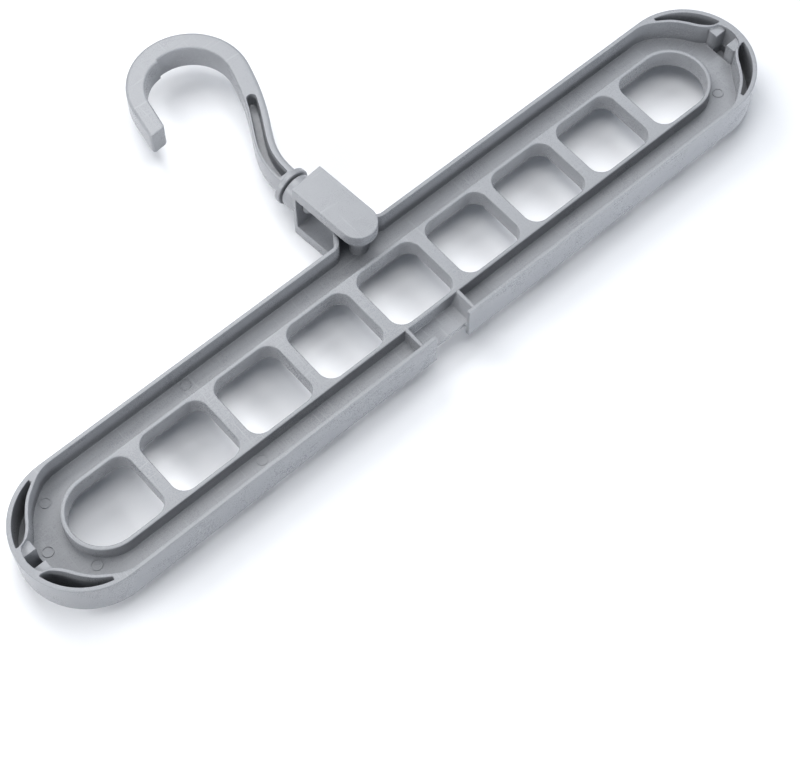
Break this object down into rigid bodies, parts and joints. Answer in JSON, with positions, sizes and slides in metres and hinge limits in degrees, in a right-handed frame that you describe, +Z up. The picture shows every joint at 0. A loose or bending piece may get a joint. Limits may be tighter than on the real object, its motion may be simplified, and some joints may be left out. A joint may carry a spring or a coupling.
{
  "type": "multi-hole hanger",
  "caption": "Flat moulded wardrobe hanger: a long tray with a ladder of holes for other hangers, a yoke that swings on one long side and a hook that spins in the yoke.",
  "frame": {"origin": "where the yoke's pivot axis meets the plane that the yoke's lower cheek rests on", "axes": "+X along the body, +Y from the body towards the hook, +Z up with the hanger lying flat, channel side up"},
  "size_m": [0.365, 0.1826, 0.0315],
  "materials": {
    "grey_plastic": "satin moulded"
  },
  "bodies": {
    "body": {"hanger_body": "grey_plastic"},
    "yoke": {"swivel_yoke": "grey_plastic"},
    "hook": {"swivel_hook": "grey_plastic"}
  },
  "joints": [
    {"name": "yoke_swing", "type": "hinge", "parent": "body", "child": "yoke", "pos_m": [0, 0, 0.01575], "axis": [0, 0, 1], "range_deg": [-74, 65]},
    {"name": "hook_spin", "type": "hinge", "parent": "yoke", "child": "hook", "pos_m": [0, 0, 0.01575], "axis": [-0.0819, 0.9966, 0], "continuous": true}
  ]
}
